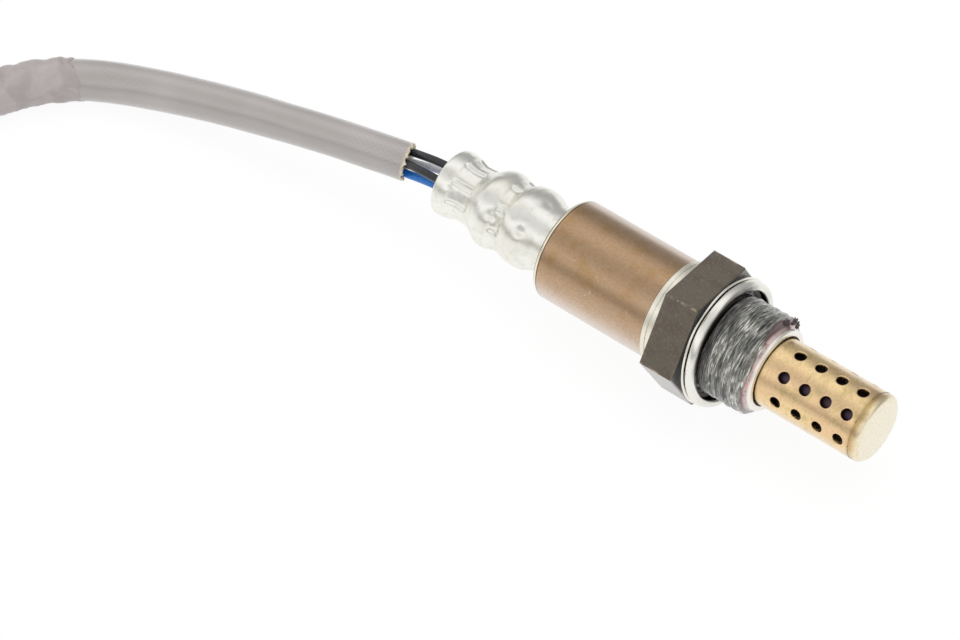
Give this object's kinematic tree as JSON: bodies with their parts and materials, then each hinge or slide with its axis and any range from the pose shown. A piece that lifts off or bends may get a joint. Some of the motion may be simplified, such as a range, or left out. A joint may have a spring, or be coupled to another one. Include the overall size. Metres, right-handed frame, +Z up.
{
  "type": "oxygen sensor",
  "caption": "Heated exhaust oxygen sensor: threaded hexagon shell with folded gasket, perforated tip protector, crimped rear tube and a coiled lead with connector.",
  "frame": {"origin": "on the sensor's axis, in the plane of the gasket's sealing face, where the thread starts", "axes": "+X along the sensor's axis towards the protector's tip, +Z up with the sensor lying on its gasket's rim"},
  "size_m": [0.2638, 0.1027, 0.0228],
  "materials": {
    "shell_steel": "satin, thread smeared with grey anti-seize paste",
    "gasket_steel": "bright, lightly worn",
    "protector_steel": "straw heat tint",
    "inner_cup_steel": "dark heat tint",
    "bright_steel": "bright",
    "sleeve_steel": "bronze heat tint",
    "tube_steel": "bright drawn steel, dented",
    "ceramic": "white ceramic",
    "talc": "pressed powder",
    "contact_metal": "nickel alloy",
    "grommet_rubber": "matte",
    "vent": "porous",
    "black_insulation": "smooth",
    "white_insulation": "smooth",
    "blue_insulation": "smooth",
    "braid": "coated braid",
    "tape": "wrinkled, slightly glossy",
    "tie_plastic": "moulded",
    "connector_plastic": "moulded",
    "seal_rubber": "matte",
    "lock_plastic": "moulded",
    "terminal_metal": "plated"
  },
  "bodies": {
    "root": {"hex_housing": "shell_steel", "seal_gasket": "gasket_steel", "outer_protector": "protector_steel", "inner_protector": "inner_cup_steel", "collar_ring": "bright_steel", "body_sleeve": "sleeve_steel", "rear_tube": "tube_steel", "sensing_element": "ceramic", "heater_rod": "ceramic", "seat_washer": "bright_steel", "talc_seal": "talc", "ceramic_spacer": "ceramic", "packing_ring": "bright_steel", "inner_contact": "contact_metal", "outer_contact": "contact_metal", "heater_terminals": "contact_metal", "contact_carrier": "ceramic", "carrier_spring": "bright_steel", "rubber_grommet": "grommet_rubber", "vent_filter": "vent", "lead_black_1": "black_insulation", "lead_black_2": "black_insulation", "lead_white": "white_insulation", "lead_blue": "blue_insulation", "braided_sleeve": "braid", "tape_wrap": "tape", "cable_coil": "braid", "coil_tie": "tie_plastic", "connector_housing": "connector_plastic", "connector_seal": "seal_rubber", "seal_cover": "connector_plastic", "terminal_lock": "lock_plastic", "connector_terminals": "terminal_metal"}
  },
  "joints": []
}
